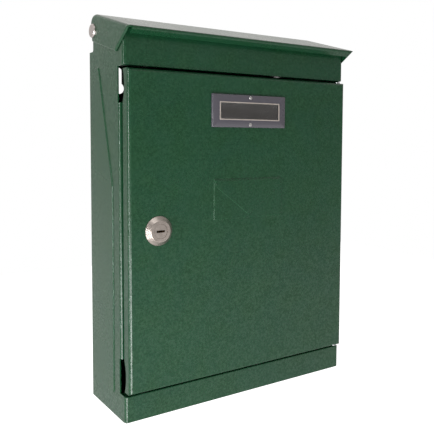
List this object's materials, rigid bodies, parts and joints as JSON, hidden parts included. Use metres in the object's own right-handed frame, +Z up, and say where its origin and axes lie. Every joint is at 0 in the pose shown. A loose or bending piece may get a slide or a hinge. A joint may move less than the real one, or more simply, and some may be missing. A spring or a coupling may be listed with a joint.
{
  "type": "wall mounted mailbox",
  "caption": "Wall mounted sheet-steel mailbox with a hinged sloping lid over the letter opening and a side-hung door with a cam lock and a name plate.",
  "frame": {"origin": "centre of the four wall screw holes, on the wall face of the back panel", "axes": "+Z up, +Y towards the wall, so the door faces -Y; +X to the right as seen from the front"},
  "size_m": [0.2214, 0.0763, 0.3068],
  "materials": {
    "painted_steel": "dark green powder coat, satin with fine orange peel",
    "painted_door": "dark green powder coat, satin with fine orange peel",
    "painted_lid": "dark green powder coat, satin with fine orange peel",
    "nickel": "satin nickel plate",
    "zinc": "bright zinc plate",
    "nylon": "natural nylon",
    "brass_wafer": "stamped brass",
    "clear_plastic": "clear moulded plastic, slightly grey",
    "card": "dark brown-grey card"
  },
  "bodies": {
    "body": {"left_side_panel": "painted_steel", "right_side_panel": "painted_steel", "back_panel": "painted_steel", "bottom_tray": "painted_steel", "upper_front_panel": "painted_steel", "lid_rivets": "nickel", "lid_spacer_washers": "nylon", "lid_backing_washers": "zinc", "upper_hinge_lug": "painted_steel", "lower_hinge_lug": "painted_steel", "upper_hinge_pin": "zinc", "lower_hinge_pin": "zinc", "upper_thrust_washer": "nylon", "lower_thrust_washer": "nylon"},
    "lid": {"lid": "painted_lid"},
    "door": {"door_panel": "painted_door", "lock_housing": "nickel", "lock_star_washer": "zinc", "lock_nut": "zinc", "name_plate_cover": "clear_plastic", "name_card": "card", "name_plate_studs": "zinc", "name_plate_clips": "zinc"},
    "lock_core": {"lock_plug": "nickel", "lock_wafers": "brass_wafer", "lock_cam": "zinc", "cam_screw": "zinc"}
  },
  "joints": [
    {"name": "lid_hinge", "type": "hinge", "parent": "body", "child": "lid", "pos_m": [0, -0.011, 0.1546], "axis": [-1, 0, 0], "range_deg": [0, 62]},
    {"name": "door_hinge", "type": "hinge", "parent": "body", "child": "door", "pos_m": [0.102, -0.0635, -0.14], "axis": [0, 0, 1], "range_deg": [0, 95]},
    {"name": "lock_turn", "type": "hinge", "parent": "door", "child": "lock_core", "pos_m": [-0.082, -0.0685, 0.0025], "axis": [0, 1, 0], "range_deg": [0, 90]}
  ]
}
